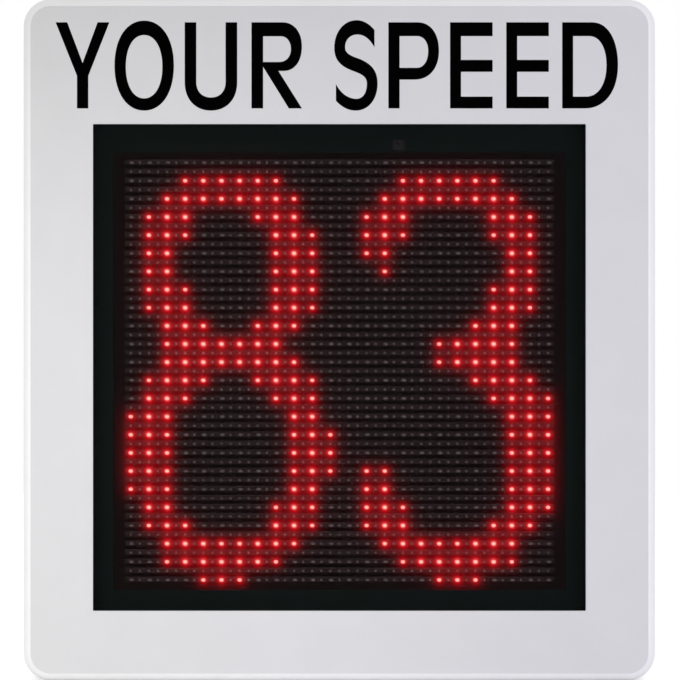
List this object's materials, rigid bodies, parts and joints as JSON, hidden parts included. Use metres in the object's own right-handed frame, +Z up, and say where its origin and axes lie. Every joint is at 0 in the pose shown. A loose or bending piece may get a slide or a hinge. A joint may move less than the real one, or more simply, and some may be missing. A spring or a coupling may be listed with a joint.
{
  "type": "radar speed sign",
  "caption": "Square radar speed sign: white hinged cover, lamp matrix showing a number behind a clear window, chassis tray with batteries, radar unit and rear mounting rails.",
  "frame": {"origin": "centre of the sign's base, midway between its front film and the backs of its rails", "axes": "+Z up, -Y out of the lit face towards the road, +X to the right seen from the front"},
  "size_m": [0.694, 0.1544, 0.7485],
  "materials": {
    "cover_white": "moulded, fine satin",
    "sheeting": "white reflective film",
    "rubber": "cellular rubber",
    "clear_pane": "clear polycarbonate",
    "black_sheet": "black powder coat",
    "black_moulding": "moulded matt black",
    "board": "green circuit board",
    "lit_lamp": "lit red lamp",
    "tray_aluminium": "mill finish, brushed",
    "rail_aluminium": "anodised",
    "zinc_steel": "zinc plated",
    "battery_case": "moulded case",
    "grey_plastic": "light grey moulding",
    "dark_plastic": "black moulding"
  },
  "bodies": {
    "chassis": {"battery_left": "battery_case", "battery_right": "battery_case", "battery_shelf": "tray_aluminium", "battery_strap": "black_moulding", "breather_vent": "dark_plastic", "cable_gland": "dark_plastic", "charge_regulator": "tray_aluminium", "chassis_tray": "tray_aluminium", "control_board": "board", "control_box_base": "grey_plastic", "control_box_lid": "grey_plastic", "cover_seal": "rubber", "display_pillars": "zinc_steel", "display_surround": "black_sheet", "gland_nut": "dark_plastic", "hinge_pin_lower": "zinc_steel", "hinge_pin_upper": "zinc_steel", "hinge_tray_leaf_lower": "zinc_steel", "hinge_tray_leaf_upper": "zinc_steel", "lamp_board_left": "board", "lamp_board_right": "board", "light_sensor": "black_moulding", "lit_lamps": "lit_lamp", "louvre_mask": "black_moulding", "mounting_rail_lower": "rail_aluminium", "mounting_rail_upper": "rail_aluminium", "pillar_screws": "zinc_steel", "radar_bracket": "tray_aluminium", "radar_housing": "grey_plastic", "radar_window": "dark_plastic", "rail_bolts": "zinc_steel", "rail_nuts": "zinc_steel", "seal_frame": "tray_aluminium", "terminal_strip": "dark_plastic"},
    "cover": {"front_cover": "cover_white", "face_sheeting": "sheeting", "window_gasket": "rubber", "window_pane": "clear_pane", "pane_retainer": "black_sheet", "retainer_screws": "zinc_steel", "hinge_cover_leaf_lower": "zinc_steel", "hinge_cover_leaf_upper": "zinc_steel", "lock_barrel_lower": "zinc_steel", "lock_barrel_upper": "zinc_steel", "lock_nut_lower": "zinc_steel", "lock_nut_upper": "zinc_steel"},
    "lower_lock": {"lock_core_lower": "zinc_steel", "lock_cam_lower": "zinc_steel"},
    "upper_lock": {"lock_core_upper": "zinc_steel", "lock_cam_upper": "zinc_steel"}
  },
  "joints": [
    {"name": "cover_hinge", "type": "hinge", "parent": "chassis", "child": "cover", "pos_m": [-0.3423, 0.03265, 0.37425], "axis": [0, 0, -1], "range_deg": [0, 110]},
    {"name": "lower_lock_turn", "type": "hinge", "parent": "cover", "child": "lower_lock", "pos_m": [0.337, -0.01735, 0.17425], "axis": [1, 0, 0], "range_deg": [0, 90]},
    {"name": "upper_lock_turn", "type": "hinge", "parent": "cover", "child": "upper_lock", "pos_m": [0.337, -0.01735, 0.57425], "axis": [1, 0, 0], "range_deg": [0, 90]}
  ]
}
